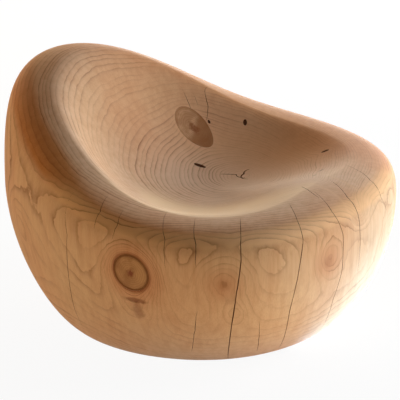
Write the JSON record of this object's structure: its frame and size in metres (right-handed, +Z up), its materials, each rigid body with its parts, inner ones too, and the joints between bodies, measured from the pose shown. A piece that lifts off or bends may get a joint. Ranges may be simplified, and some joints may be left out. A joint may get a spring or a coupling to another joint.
{
  "type": "carved log stool",
  "caption": "Low one-block wooden stool carved from a log section, with a scooped seat, a rounded low back, encased knots and drying cracks.",
  "frame": {"origin": "middle of the flat foot, on the floor", "axes": "+Z up along the log, +Y towards the high back, +X to the sitter's left; the seat opens towards -Y"},
  "size_m": [0.8437, 0.8755, 0.5525],
  "materials": {
    "heartwood": "oiled, sanded smooth",
    "knot_wood": "oiled, sanded smooth",
    "bark": "matt, dry",
    "twig_wood": "matt, dry"
  },
  "bodies": {
    "root": {"carved_block": "heartwood", "side_knot": "knot_wood", "side_knot_bark": "bark", "backrest_knot": "knot_wood", "left_back_twig": "twig_wood", "right_back_twig": "twig_wood", "bowl_twig": "twig_wood", "rim_twig": "twig_wood"}
  },
  "joints": []
}
